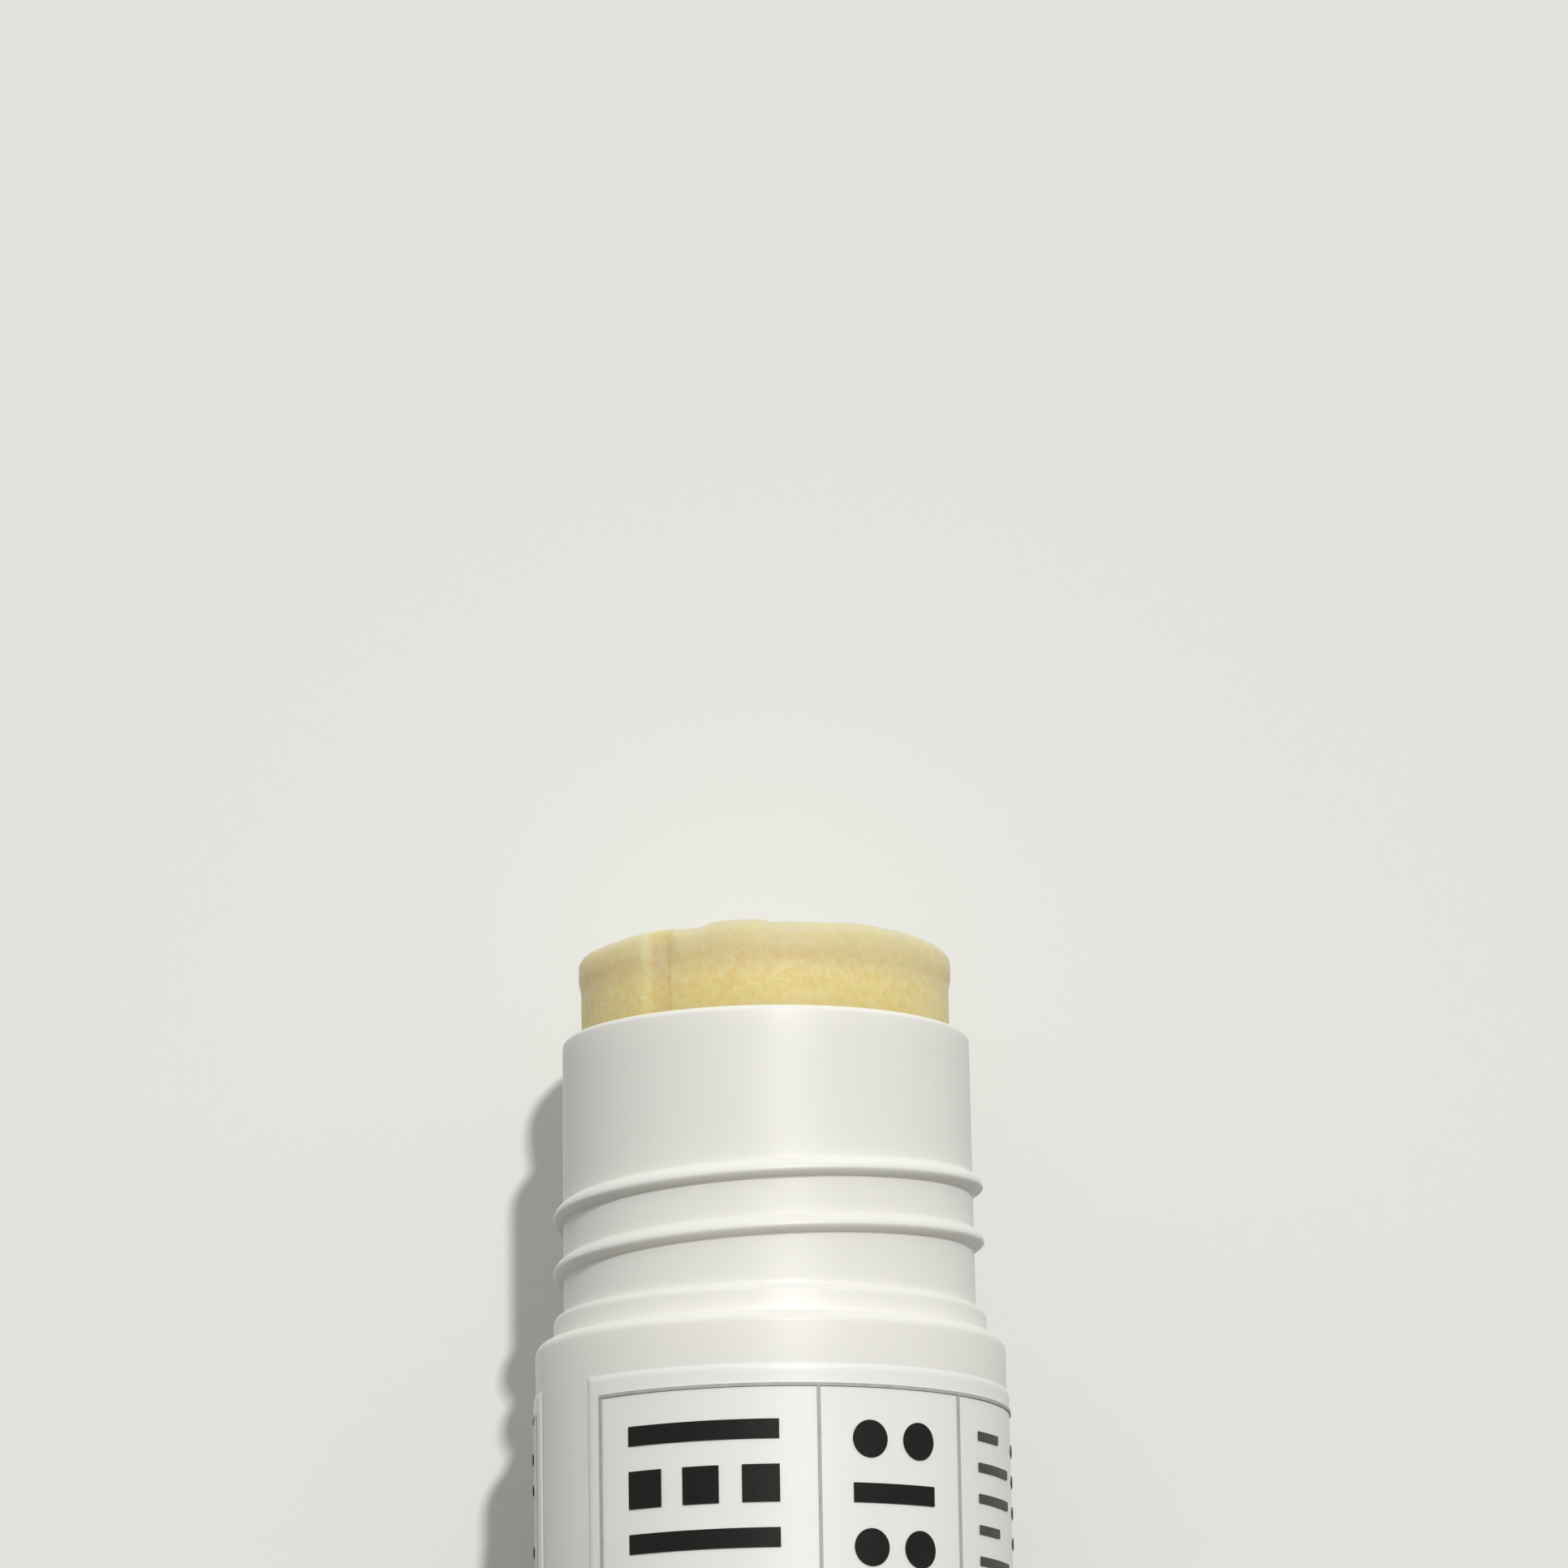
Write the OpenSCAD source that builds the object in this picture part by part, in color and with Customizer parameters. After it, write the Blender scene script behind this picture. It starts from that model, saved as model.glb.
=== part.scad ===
// Twist-up lip balm stick with a broken-off balm: a moulded tube with a threaded neck, the grip wheel
// with its screw, the cup that the screw lifts, the stub of balm and the wrapped label.
// The stick stands on its grip wheel. The origin is the centre of the wheel's underside, +Z points to
// the balm, and the label's front faces -Y. Azimuths are in degrees from the front, to the right.

/* [Tube] */
// Diameter of the bore that the balm slides in
bore_d = 12.7; // [10:0.1:16]
// Wall of the neck at its rim
neck_wall = 0.62; // [0.4:0.01:1.2]
// Height of the neck above the cap's seat
neck_h = 9.5; // [9:0.05:16]
// What the neck gains in radius from its rim down to its root
neck_flare = 0.05; // [0:0.01:0.2]
// Step in radius from the neck's root to the cap's seat
seat_step = 0.35; // [0.2:0.01:0.8]
// Height of the cap's seat above the shoulder
seat_h = 0.95; // [0.5:0.05:2]
// Step in radius from the cap's seat to the body
shoulder_w = 0.63; // [0.4:0.01:2]
// Height of the body below the shoulder
body_h = 39.2; // [34:0.1:60]
// Rounding of the body's upper edge
shoulder_round = 0.42; // [0.1:0.01:0.6]
// Rounding of the seat's upper edge
seat_round = 0.24; // [0.1:0.01:0.4]
// Rounding of the rim
rim_round = 0.2; // [0.05:0.01:0.3]
// Chamfer at the tube's lower edge
foot_chamfer = 0.3; // [0.1:0.05:0.6]

/* [Neck thread] */
// Pitch of the neck thread
thread_pitch = 1.9; // [1.2:0.1:2.4]
// Turns of the neck thread
thread_turns = 1.9; // [1:0.1:2.4]
// Height of the thread's ridge above the neck
thread_h = 0.3; // [0.15:0.01:0.34]
// Width of the thread's ridge at its root
thread_w = 0.76; // [0.4:0.02:1]
// Drop from the rim to the middle of the thread
thread_drop = 6.6; // [5:0.1:7]

/* [Guide ribs in the bore] */
// Number of ribs that keep the cup from turning
rib_count = 2; // [2:1:4]
// Azimuth of the first rib
rib_azimuth = -34.6; // [-180:0.1:180]
// Height of a rib above the bore
rib_h = 0.25; // [0.15:0.01:0.35]
// Width of a rib
rib_w = 0.8; // [0.5:0.05:1.5]
// Drop from the rim to a rib's upper end
rib_drop = 1.2; // [0.6:0.1:3]
// Rise from the socket to a rib's lower end
rib_lift = 0.3; // [0.1:0.1:1]

/* [Grip wheel] */
// Height of the grip wheel
wheel_h = 6.5; // [4:0.1:10]
// How far the wheel stands in from the body's side
wheel_inset = 0.1; // [0:0.05:0.5]
// Running gap between the wheel and the tube
wheel_gap = 0.2; // [0.1:0.05:0.5]
// Number of grip grooves
grip_count = 36; // [18:1:48]
// Radius of a grip groove
grip_r = 0.34; // [0.2:0.01:0.4]
// Depth of a grip groove
grip_depth = 0.24; // [0.1:0.01:0.3]
// Thickness of the wheel's floor
wheel_floor = 1.2; // [0.8:0.1:2.5]
// Depth of the recess under the wheel
recess_h = 0.4; // [0.2:0.05:1]
// Width of the ring that the wheel stands on
foot_w = 1.3; // [0.8:0.1:2.5]

/* [Snap joint of wheel and tube] */
// Height of the socket in the tube's lower end
socket_h = 4.1; // [3.5:0.1:6]
// Step in radius from the bore to the socket
socket_step = 0.35; // [0.2:0.01:0.6]
// Radial running clearance of the wheel's collar in the socket
run_gap = 0.08; // [0.04:0.01:0.12]
// Gap above the collar's end
collar_gap = 0.3; // [0.1:0.05:0.6]
// Wall of the collar
collar_wall = 1.2; // [0.8:0.05:1.6]
// Height of the snap bead above the collar's side
bead_h = 0.23; // [0.1:0.01:0.3]
// Drop from the collar's end to the middle of the bead
bead_drop = 1.6; // [1.2:0.1:2]
// Clearance of the bead in its groove
bead_gap = 0.1; // [0.05:0.01:0.15]

/* [Screw] */
// Diameter of the screw's core
core_d = 3.8; // [3:0.1:5]
// Depth of the screw's thread
screw_h = 0.7; // [0.4:0.05:0.9]
// Lead of the screw's left-hand thread
lead = 3.6; // [3:0.1:5]
// Width of the screw's ridge at its root
screw_w = 1.2; // [0.8:0.05:1.6]
// Bare tip of the screw above its thread
tip_h = 0.2; // [0.1:0.1:1]

/* [Lifting cup] */
// Radial clearance of the cup in the bore
slide_gap = 0.1; // [0.05:0.01:0.15]
// Wall of the cup
cup_wall = 0.7; // [0.6:0.05:1.2]
// Height of the cup's wall above its floor
cup_up = 3; // [2:0.1:5]
// Height of the cup's skirt below the top of its floor
cup_down = 3; // [2:0.1:5]
// Thickness of the cup's floor
cup_floor = 1; // [0.6:0.1:2]
// Length of the hub below the top of the floor
hub_h = 6.5; // [5.8:0.1:9]
// Wall of the hub
hub_wall = 0.75; // [0.5:0.05:1.2]
// Clearance of the hub and its lugs round the screw
screw_gap = 0.15; // [0.1:0.01:0.25]
// Height of a lug
lug_h = 1.3; // [0.8:0.05:1.5]
// Width of a lug
lug_w = 1.2; // [0.8:0.05:1.6]
// How far the cup's wall stays below the rim when the balm is all the way up
top_stop = 2.5; // [1.5:0.1:5]
// Gap between the cup and the collar when the balm is all the way down
bottom_stop = 0.2; // [0.1:0.1:1]

/* [Balm] */
// Length of balm that is left in the stick
balm_len = 34.2; // [33:0.1:42]
// How far the broken end stands above the rim
stub_h = 3; // [1:0.1:10]
// Rounding of the broken edge
stub_round = 0.45; // [0.2:0.05:1]
// Radial gap between the balm and what it is cast against
balm_gap = 0.05; // [0.02:0.01:0.1]

/* [Label] */
// Thickness of the label film
film_t = 0.08; // [0.05:0.01:0.2]
// Bare tube above and below the label
label_margin = 1.85; // [0.5:0.05:4]
// Azimuth of the label's left edge
label_azimuth = -49.5; // [-180:0.5:180]
// Angle that the label wraps round
label_angle = 334.5; // [300:0.5:355]
// Thickness of the print
ink_t = 0.03; // [0.02:0.01:0.06]
// Inset of the printed frame from the label's edges
frame_inset = 0.65; // [0.4:0.05:1]
// Width of the frame's lines
rule_w = 0.11; // [0.08:0.01:0.2]
// Angle of a title panel
title_angle = 55.7; // [50:0.1:60]
// Angle of a figure panel
figure_angle = 39; // [36:0.5:46]
// Angle of a panel with fine print
notes_angle = 62; // [50:0.5:64]
// Drop from the frame's top to the first print
print_drop = 1.2; // [0.6:0.1:3]
// Number of rows of bold print in a panel
row_count = 7; // [2:1:8]
// Width of a bold stroke
stroke_w = 0.65; // [0.4:0.05:0.9]
// Side of a bold square
square_w = 1.25; // [0.8:0.05:1.3]
// Gap between bold shapes along the stick
shape_gap = 0.85; // [0.4:0.05:0.9]
// Side margin of the title print in its panel
title_margin = 1.28; // [0.6:0.02:1.6]
// Side margin of the figure print in its panel
figure_margin = 1.2; // [0.6:0.05:1.4]
// Number of fine lines in a notes panel
note_count = 24; // [4:1:28]
// Width of a fine line
note_w = 0.3; // [0.15:0.05:0.5]
// Gap between fine lines along the stick
note_gap = 0.75; // [0.3:0.05:0.8]

/* [Hidden] */
$fn = 96;

// Skin gap that keeps the film, the print and the print's lines from sharing a surface
skin = 0.01;
// Overlap that joins two pieces of one moulding
join = 0.2;
// Steps of the arcs in an outline, and of each turn of a thread
arc_steps = 5;
neck_steps = 32;
screw_steps = 16;
// Angle over which a thread's ridge grows out of the wall
thread_taper = 35;
screw_taper = 60;

// Radii of the tube, from the bore outwards
bore_r = bore_d / 2;
rim_r = bore_r + neck_wall;
root_r = rim_r + neck_flare;
seat_r = root_r + seat_step;
body_r = seat_r + shoulder_w;

// Heights of the tube, from the wheel upwards
tube_z = wheel_h + wheel_gap;
shoulder_z = tube_z + body_h;
seat_z = shoulder_z + seat_h;
rim_z = seat_z + neck_h;

// Roundings, held by the walls that they are on
shoulder_fillet = min(shoulder_round, shoulder_w * 0.9);
seat_fillet = min(seat_round, seat_step * 0.9, seat_h * 0.9);
rim_fillet = min(rim_round, neck_wall * 0.45);

// Snap joint
socket_r = bore_r + socket_step;
socket_z = tube_z + socket_h;
collar_r = socket_r - run_gap;
collar_z = socket_z - collar_gap;
collar_in_r = collar_r - collar_wall;
bead_r = collar_r + bead_h;
bead_z = collar_z - bead_drop;
bead_flat = 0.1;
bead_slope = bead_h * 1.6;
groove_r = bead_r + bead_gap;

// Grip wheel
wheel_r = body_r - wheel_inset;
well_z = recess_h + wheel_floor;

// Cup, in the place where the photograph has it, and at both ends of its travel
cup_r = bore_r - slide_gap;
cup_in_r = cup_r - cup_wall;
balm_top_z = rim_z + stub_h;
floor_z = balm_top_z - balm_len;
lowest_floor_z = collar_z + bottom_stop + cup_down;
highest_floor_z = rim_z - top_stop - cup_up;

// Screw and the cup's lugs, which run in the screw's groove
core_r = core_d / 2;
screw_r = core_r + screw_h;
hub_in_r = screw_r + screw_gap;
hub_r = hub_in_r + hub_wall;
lug_in_r = core_r + screw_gap;
lug_azimuth = 90;
lug_z = floor_z - hub_h + lug_h / 2;
screw_foot_z = well_z + lead;
screw_top_z = highest_floor_z - hub_h + lug_h + screw_gap;
screw_turns = (screw_top_z - screw_foot_z) / lead;
screw_phase = lug_azimuth + 360 * ((lug_z - screw_foot_z) / lead - 0.5);
tip_z = screw_top_z + screw_w / 2 + tip_h;

// Ribs and the grooves that run on them
rib_z = socket_z + rib_lift;
rib_top_z = rim_z - rib_drop;
rib_r = bore_r - rib_h;

// Balm
balm_r = bore_r - balm_gap;
balm_foot_r = cup_in_r - balm_gap;
balm_bore_r = hub_in_r;
balm_bore_h = tip_z + screw_gap - lowest_floor_z;

// Label
film_r = body_r + skin;
ink_r = film_r + film_t + skin;
label_z = tube_z + label_margin;
label_top_z = shoulder_z - label_margin;
mm_angle = 180 / (PI * ink_r);
frame_z = label_z + frame_inset;
frame_top_z = label_top_z - frame_inset;
frame_azimuth = label_azimuth + frame_inset * mm_angle;
frame_angle = label_angle - 2 * frame_inset * mm_angle;
rule_angle = rule_w * mm_angle;
panels = [title_angle, figure_angle, notes_angle, title_angle, figure_angle];
print_top_z = frame_top_z - print_drop;
row_h = stroke_w + square_w + 2 * shape_gap;
note_h = note_w + note_gap;

// Left edge of a panel: the panels follow each other from the frame's left edge
function panel_azimuth(i) = frame_azimuth + (i == 0 ? 0 : panel_sum(i - 1));
function panel_sum(i) = panels[i] + (i == 0 ? 0 : panel_sum(i - 1));
// Angle of a panel: the last one takes what the others leave
function panel_angle(i) = i < len(panels) ? panels[i] : frame_angle - panel_sum(len(panels) - 1);

// Angle from one bold shape to the next, for a row of them spread over an angle
function shape_step(angle, count) = (angle - square_w * mm_angle) / (count - 1);

// Points of an arc round [x, y]
function arc(x, y, r, from, to) = [
    for (i = [0 : arc_steps])
        let (a = from + (to - from) * i / arc_steps) [x + r * cos(a), y + r * sin(a)]
];

// How far a ridge has grown at an angle along it: 0 at both ends, 1 between the tapers
function growth(angle, total, taper) = min(1, angle / taper, (total - angle) / taper);

// Faces of a chain of rings with n points each, closed by a cap at both ends
function ring_faces(rings, n) = concat(
    [[for (k = [n - 1 : -1 : 0]) k]],
    [
        for (i = [0 : rings - 2], k = [0 : n - 1], half = [0, 1])
            let (a = i * n + k, b = i * n + (k + 1) % n)
                half == 0 ? [a, b + n, a + n] : [a, b, b + n]
    ],
    [[for (k = [0 : n - 1]) (rings - 1) * n + k]]
);

// Turns a piece that is drawn on +X to an azimuth
module at_azimuth(azimuth) {
    rotate([0, 0, azimuth - 90]) children();
}

// Ridge of a thread, wound to the right (hand 1) or to the left (hand -1) from azimuth and height z
// upwards. profile lists [height above the wall, offset along the axis] of its points, and wall_r and
// wall_slope give the wall's radius at height 0 and its change with height.
module thread_ridge(profile, wall_r, wall_slope, azimuth, z, pitch, turns, hand, steps, taper) {
    total = 360 * turns;
    rings = ceil(turns * steps);
    n = len(profile);
    points = [
        for (i = [0 : rings], k = [0 : n - 1])
            let (
                angle = total * i / rings,
                a = azimuth - 90 + hand * angle,
                rise = z + pitch * angle / 360 + profile[k][1],
                sunk = -join * 0.8,
                up = sunk + (profile[k][0] - sunk) * growth(angle, total, taper),
                r = wall_r + wall_slope * rise + (profile[k][0] < 0 ? -join : up)
            ) [r * cos(a), r * sin(a), rise]
    ];
    faces = ring_faces(rings + 1, n);
    polyhedron(points, hand > 0 ? faces : [for (f = faces) [for (k = [len(f) - 1 : -1 : 0]) f[k]]]);
}

// Half section of the tube, without its thread and ribs
module barrel_section() {
    polygon(concat(
        [
            [socket_r + foot_chamfer, tube_z],
            [body_r - foot_chamfer, tube_z],
            [body_r, tube_z + foot_chamfer]
        ],
        arc(body_r - shoulder_fillet, shoulder_z - shoulder_fillet, shoulder_fillet, 0, 90),
        [[seat_r, shoulder_z]],
        arc(seat_r - seat_fillet, seat_z - seat_fillet, seat_fillet, 0, 90),
        [[root_r, seat_z]],
        arc(rim_r - rim_fillet, rim_z - rim_fillet, rim_fillet, 0, 90),
        arc(bore_r + rim_fillet, rim_z - rim_fillet, rim_fillet, 90, 180),
        [
            [bore_r, socket_z],
            [socket_r, socket_z],
            [socket_r, bead_z + bead_flat + bead_slope + bead_gap],
            [groove_r, bead_z + bead_flat + bead_gap],
            [groove_r, bead_z - bead_flat - bead_gap],
            [socket_r, bead_z - bead_flat - bead_slope - bead_gap],
            [socket_r, tube_z + foot_chamfer]
        ]
    ));
}

// The round ridge of the neck's right-hand thread, with its middle at the back
module neck_thread() {
    wall_slope = -neck_flare / neck_h;
    profile = [
        [-join, -thread_w / 2],
        [thread_h * 0.7, -thread_w * 0.26],
        [thread_h, 0],
        [thread_h * 0.7, thread_w * 0.26],
        [-join, thread_w / 2]
    ];
    thread_ridge(
        profile, root_r - wall_slope * seat_z, wall_slope, 180 - 180 * thread_turns,
        rim_z - thread_drop - thread_pitch * thread_turns / 2, thread_pitch, thread_turns, 1,
        neck_steps, thread_taper
    );
}

// Bars on the azimuths of the guide ribs, from inner radius r outwards
module rib_bars(r, depth, width, z, h) {
    for (i = [0 : rib_count - 1])
        at_azimuth(rib_azimuth + 360 * i / rib_count)
            translate([r, -width / 2, z]) cube([depth, width, h]);
}

// Tube: body, cap seat, threaded neck, ribbed bore and the socket for the wheel, one moulding
module barrel() {
    color("whitesmoke") union() {
        rotate_extrude() barrel_section();
        neck_thread();
        rib_bars(rib_r, rib_h + join, rib_w, rib_z, rib_top_z - rib_z);
    }
}

// Half section of the wheel with its collar and the screw's core
module dial_section() {
    edge = foot_chamfer;
    polygon([
        [0, recess_h],
        [wheel_r - foot_w, recess_h],
        [wheel_r - foot_w, 0],
        [wheel_r - edge, 0],
        [wheel_r, edge],
        [wheel_r, wheel_h - edge],
        [wheel_r - edge, wheel_h],
        [collar_r, wheel_h],
        [collar_r, bead_z - bead_flat - bead_slope],
        [bead_r, bead_z - bead_flat],
        [bead_r, bead_z + bead_flat],
        [collar_r, bead_z + bead_flat + bead_slope],
        [collar_r, collar_z],
        [collar_in_r, collar_z],
        [collar_in_r, well_z],
        [core_r + screw_h, well_z],
        [core_r, well_z + screw_h],
        [core_r, tip_z - tip_h],
        [core_r - tip_h, tip_z],
        [0, tip_z]
    ]);
}

// Ridge of the screw's left-hand thread
module screw_thread() {
    profile = [
        [-join, -screw_w / 2],
        [screw_h, -screw_w / 4],
        [screw_h, screw_w / 4],
        [-join, screw_w / 2]
    ];
    thread_ridge(
        profile, core_r, 0, screw_phase, screw_foot_z, lead, screw_turns, -1, screw_steps, screw_taper
    );
}

// Grip wheel, snap collar and screw, one moulding
module dial_screw() {
    color("white") union() {
        difference() {
            rotate_extrude() dial_section();
            for (i = [0 : grip_count - 1])
                at_azimuth(360 * i / grip_count)
                    translate([wheel_r + grip_r - grip_depth, 0, -1])
                        cylinder(r = grip_r, h = wheel_h + 2);
        }
        screw_thread();
    }
}

// Cup that carries the balm, with the hub and the two lugs that run in the screw's groove
module elevator_cup() {
    color("gainsboro") difference() {
        union() {
            difference() {
                translate([0, 0, floor_z - cup_down]) cylinder(r = cup_r, h = cup_down + cup_up);
                translate([0, 0, floor_z]) cylinder(r = cup_in_r, h = cup_up + 1);
                translate([0, 0, floor_z - cup_down - 1])
                    cylinder(r = cup_in_r, h = cup_down + 1 - cup_floor);
                translate([0, 0, floor_z - cup_floor - 1]) cylinder(r = hub_in_r, h = cup_floor + 2);
            }
            difference() {
                translate([0, 0, floor_z - hub_h]) cylinder(r = hub_r, h = hub_h - cup_floor / 2);
                translate([0, 0, floor_z - hub_h - 1]) cylinder(r = hub_in_r, h = hub_h + 2);
            }
            for (side = [0, 1])
                at_azimuth(lug_azimuth + 180 * side)
                    translate([lug_in_r, -lug_w / 2, lug_z - lug_h / 2 + side * lead / 2])
                        cube([hub_in_r - lug_in_r + hub_wall / 2, lug_w, lug_h]);
        }
        rib_bars(
            rib_r - slide_gap, rib_h + join + slide_gap, rib_w + 2 * slide_gap,
            floor_z - cup_down - 1, cup_down + cup_up + 2
        );
    }
}

// Stub of balm, cast round the screw and in the cup, with the grooves of the guide ribs
module balm() {
    foot_top_z = floor_z + cup_up + balm_gap;
    color("palegoldenrod") difference() {
        rotate_extrude() polygon(concat(
            [
                [0, floor_z],
                [balm_foot_r, floor_z],
                [balm_foot_r, foot_top_z],
                [balm_r, foot_top_z]
            ],
            arc(balm_r - stub_round, balm_top_z - stub_round, stub_round, 0, 90),
            [[0, balm_top_z]]
        ));
        translate([0, 0, floor_z - 1]) cylinder(r = balm_bore_r, h = balm_bore_h + 1);
        rib_bars(
            rib_r - balm_gap, rib_h + join + balm_gap, rib_w + 2 * balm_gap,
            floor_z - 1, balm_len + 2
        );
    }
}

// A patch of print on the label: its left azimuth, its angle, its lower edge and its height
module ink_patch(azimuth, angle, z, h) {
    at_azimuth(azimuth)
        rotate_extrude(angle = angle) translate([ink_r, z]) square([ink_t, h]);
}

// Film of the label, open in a strip where it doesn't meet itself
module label() {
    color("ivory")
        at_azimuth(label_azimuth)
            rotate_extrude(angle = label_angle)
                translate([film_r, label_z]) square([film_t, label_top_z - label_z]);
}

// Upright line of the printed frame, between its top and bottom lines
module upright_rule(azimuth) {
    z = frame_z + rule_w + skin;
    ink_patch(azimuth, rule_angle, z, frame_top_z - rule_w - skin - z);
}

// Thin lines of the printed frame and between its panels
module label_rules() {
    color("darkgray") union() {
        for (z = [frame_z, frame_top_z - rule_w])
            ink_patch(frame_azimuth, frame_angle, z, rule_w);
        for (i = [0 : len(panels)])
            upright_rule(panel_azimuth(i));
        upright_rule(frame_azimuth + frame_angle - rule_angle);
    }
}

// Bold bar across a panel's print
module bar_row(azimuth, angle, z) {
    ink_patch(azimuth, angle, z - stroke_w, stroke_w);
}

// Bold square on the label: its left azimuth and its upper edge
module ink_square(azimuth, z) {
    ink_patch(azimuth, square_w * mm_angle, z - square_w, square_w);
}

// Bold disc in the place of such a square
module ink_disc(azimuth, z) {
    side = square_w + 2 * join;
    intersection() {
        ink_patch(azimuth - join * mm_angle, side * mm_angle, z - square_w - join, side);
        at_azimuth(azimuth + square_w / 2 * mm_angle)
            translate([0, 0, z - square_w / 2]) rotate([0, 90, 0])
                cylinder(r = square_w / 2, h = ink_r + 1);
    }
}

// Bold print: bars and squares in the title panels, discs and bars in the figure panels
module label_blocks() {
    title_print = 2 * title_margin * mm_angle;
    figure_print = 2 * figure_margin * mm_angle;
    color("black") union() {
        for (row = [0 : row_count - 1]) {
            z = print_top_z - row * row_h;
            for (i = [0, 3]) {
                azimuth = panel_azimuth(i) + title_print / 2;
                angle = panel_angle(i) - title_print;
                bar_row(azimuth, angle, z);
                for (column = [0 : 2])
                    ink_square(azimuth + column * shape_step(angle, 3), z - stroke_w - shape_gap);
            }
            for (i = [1, 4]) {
                azimuth = panel_azimuth(i) + figure_print / 2;
                angle = panel_angle(i) - figure_print;
                for (column = [0 : 1])
                    ink_disc(azimuth + column * shape_step(angle, 2), z);
                bar_row(azimuth, angle, z - square_w - shape_gap);
            }
        }
    }
}

// Fine print: short dashes in two columns in the notes panels
module label_notes() {
    color("dimgray") union() {
        for (i = [2, 5], row = [0 : note_count - 1], column = [0, 1]) {
            margin = figure_margin * mm_angle;
            width = (panel_angle(i) - 3 * margin) / 2;
            azimuth = panel_azimuth(i) + margin + column * (width + margin);
            length = width * ((row + column) % 3 == 0 ? 0.6 : 1);
            ink_patch(azimuth, length, print_top_z - row * note_h - note_w, note_w);
        }
    }
}

barrel();
dial_screw();
elevator_cup();
balm();
label();
label_rules();
label_blocks();
label_notes();
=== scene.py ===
"""Looks of the twist-up lip balm stick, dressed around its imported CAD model."""

import math

import bpy
import numpy as np
from mathutils import Matrix, Vector


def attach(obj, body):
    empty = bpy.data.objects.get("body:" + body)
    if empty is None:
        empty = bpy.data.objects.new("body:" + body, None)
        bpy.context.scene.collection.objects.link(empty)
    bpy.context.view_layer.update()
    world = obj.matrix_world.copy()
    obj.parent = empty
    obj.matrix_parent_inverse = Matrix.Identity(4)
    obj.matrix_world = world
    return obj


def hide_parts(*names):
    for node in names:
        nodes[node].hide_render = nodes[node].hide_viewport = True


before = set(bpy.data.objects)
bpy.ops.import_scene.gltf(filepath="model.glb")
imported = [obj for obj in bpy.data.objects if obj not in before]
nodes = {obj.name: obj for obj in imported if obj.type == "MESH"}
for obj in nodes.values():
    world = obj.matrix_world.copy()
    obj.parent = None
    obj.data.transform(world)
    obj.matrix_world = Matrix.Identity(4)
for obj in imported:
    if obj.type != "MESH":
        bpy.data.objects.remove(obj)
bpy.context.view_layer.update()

# Sizes are in millimetres, as the CAD source has them, unless a comment says otherwise. Azimuths
# are in degrees from the front, to the right.
MM = 0.001

# Points round the tube and the balm
COLUMNS = 288

# Tube: radii, heights and rounds. The skin's bore is a little wider than the CAD's, so that the
# balm's rough side goes through it.
BORE_R = 6.35
BORE_SKIN_R = 6.4
WALL_MID_R = 6.65
SOCKET_R = 6.7
BEAD_GROOVE_R = 6.95
RIM_R = 6.97
ROOT_R = 7.02
SEAT_R = 7.37
BODY_R = 8.0
TUBE_Z = 6.7
BEAD_Z = 8.9
SOCKET_Z = 10.8
SHOULDER_Z = 45.9
SEAT_Z = 46.85
NECK_Z = SEAT_Z + 0.15
RIM_Z = 56.35
FOOT_ROUND = 0.3
SHOULDER_ROUND = 0.42
SEAT_ROUND = 0.28
RIM_ROUND = 0.22
SEAT_FILLET = 0.06
NECK_FILLET = 0.05
BEAD_GROOVE_FLOOR = 0.2
BEAD_GROOVE_MOUTH = 0.57

# Distance between the rows of points on each stretch of the tube
BODY_STEP = 1.5
NECK_STEP = 0.1
THREAD_STEP = 0.03
RIM_STEP = 0.5
BORE_STEP = 2.5

# Neck thread: one ridge, right-hand, with its middle at the back. A flank is where the crest ends,
# where the foot is and how round the fall between them starts: steep below the crest, easy above.
THREAD_PITCH = 1.9
THREAD_TURNS = 1.9
THREAD_H = 0.35
THREAD_MID_Z = RIM_Z - 6.68
THREAD_REACH = 2.5
THREAD_BELOW = (-0.05, 0.22, 1.6)
THREAD_ABOVE = (0.04, 0.5, 2.2)
THREAD_FOOT_SHARE = 0.25
THREAD_TAPER = 35

# Guide ribs in the bore, and the grooves that they leave in the balm
RIB_AZIMUTHS = (-34.6, 145.4)
RIB_H = 0.2
RIB_W = 0.8
RIB_ROOT = 0.12
RIB_EDGE_H = 0.1
RIB_END_SUNK = 0.08
RIB_Z = (SOCKET_Z + 0.3, RIM_Z - 1.2)
GROOVE_H = 0.18
GROOVE_MARGIN = 0.1
GROOVE_EDGE_OUT = 0.14
GROOVE_EDGE_W = 0.33

# Balm
BALM_R = 6.3
BALM_FOOT_R = 5.5
BALM_FOOT_ROUND = 0.1
BALM_BORE_R = 2.75
BALM_Z = 25.15
BALM_FOOT_TOP = 28.2
BALM_TOP = 59.35
BALM_BORE_TOP = 58.4
LIP_Z = 58.4
LIP_H = 0.085
EDGE_ROUND = 0.45
# Raised part of the broken edge: its height, and the azimuth and width of its rise and of its fall
EDGE_STEP_H = 0.1
EDGE_STEP_RISE = (-20.5, 5)
EDGE_STEP_FALL = (-1.5, 3.5)
# Humps and dips of the broken edge: azimuth, half width and height
EDGE_WAVES = (
    (-60, 16, -0.085),
    (-24, 6, -0.09),
    (31, 9, 0.07),
    (50, 8, 0.03),
    (74, 18, -0.05),
    (110, 15, 0.06),
    (-110, 20, 0.04),
    (150, 12, -0.07),
    (-150, 14, -0.06),
)
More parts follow.
